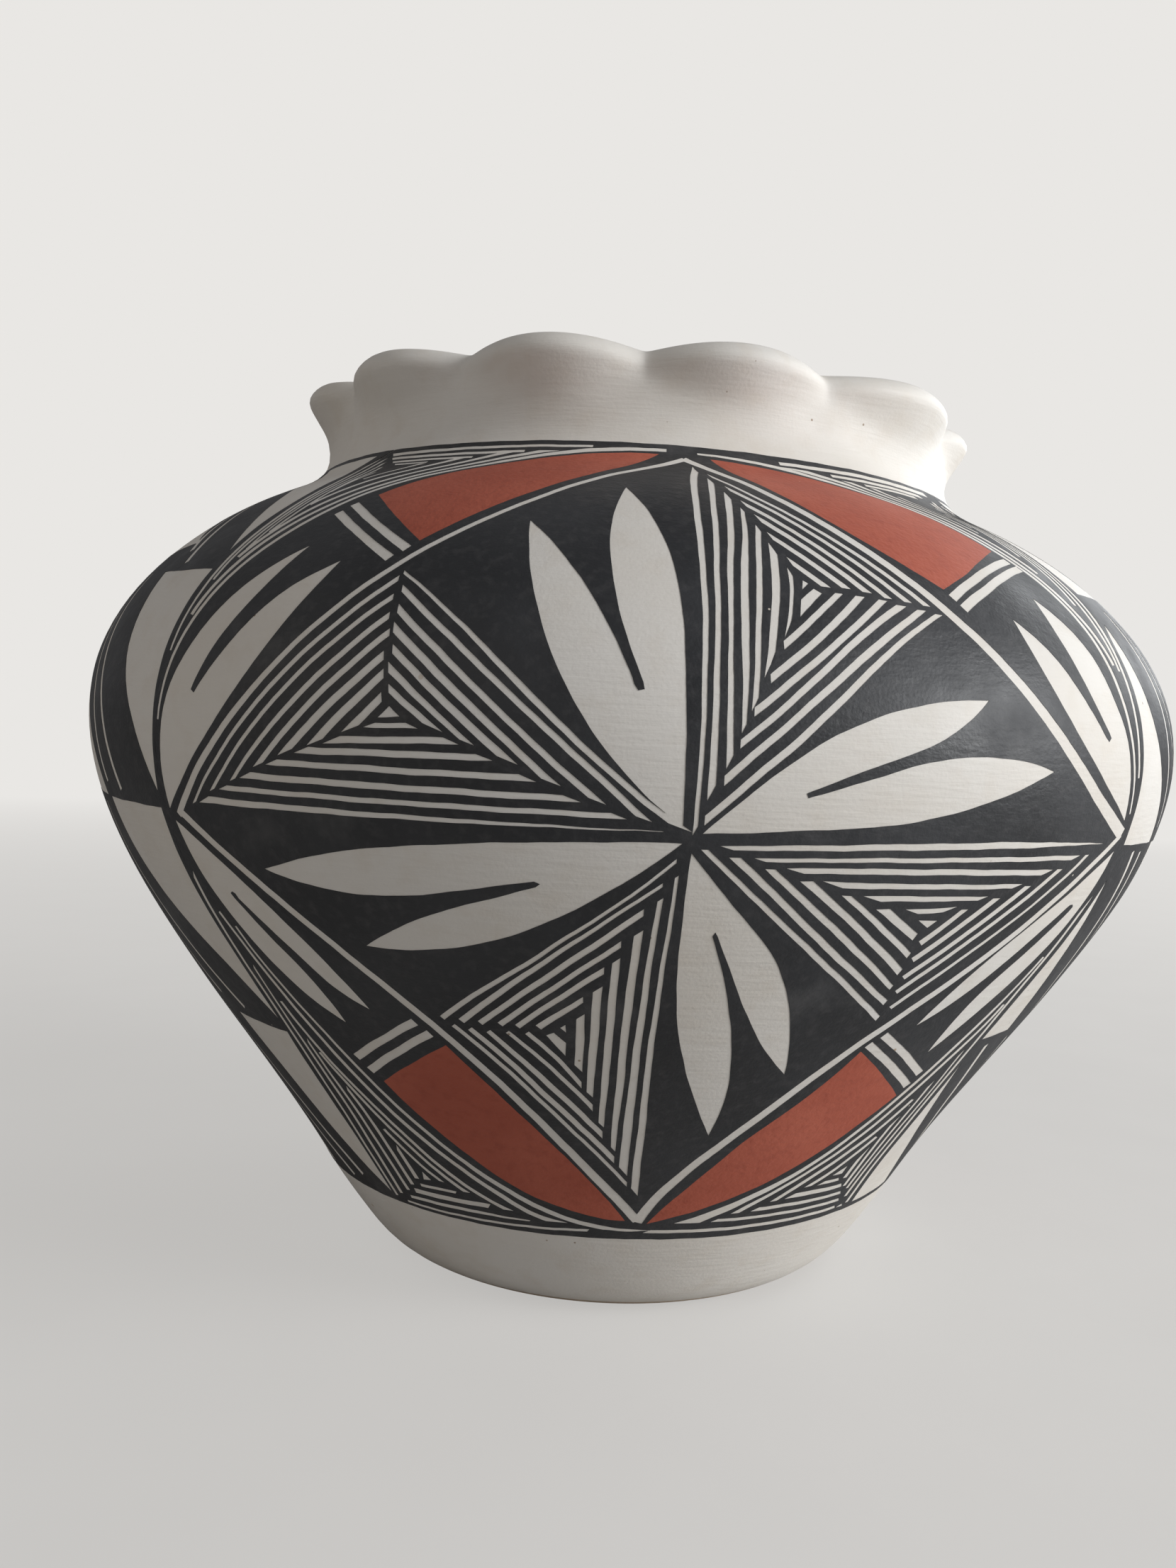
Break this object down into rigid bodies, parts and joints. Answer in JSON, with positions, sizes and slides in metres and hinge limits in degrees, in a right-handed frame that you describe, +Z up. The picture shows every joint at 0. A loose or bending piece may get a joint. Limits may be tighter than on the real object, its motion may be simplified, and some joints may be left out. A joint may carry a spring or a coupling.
{
  "type": "pueblo pottery jar",
  "caption": "Wide-bellied coil-built pottery jar with a small foot, a short neck, a finger-fluted rim, white slip and painted geometric panels.",
  "frame": {"origin": "on the axis of the jar, in the plane of the resting ring under its base", "axes": "+Z up along the axis, out of the mouth; -Y towards the middle of one painted diamond panel"},
  "size_m": [0.216, 0.216, 0.1716],
  "materials": {
    "body_clay": "matte fired clay, scraped",
    "white_slip": "stone-polished matte slip"
  },
  "bodies": {
    "root": {"base_slab": "body_clay", "wall_coil_1": "body_clay", "wall_coil_2": "body_clay", "wall_coil_3": "body_clay", "wall_coil_4": "body_clay", "wall_coil_5": "body_clay", "wall_coil_6": "body_clay", "wall_coil_7": "body_clay", "wall_coil_8": "body_clay", "neck_coil": "body_clay", "fluted_rim_coil": "body_clay", "body_slip": "white_slip", "rim_slip": "white_slip"}
  },
  "joints": []
}
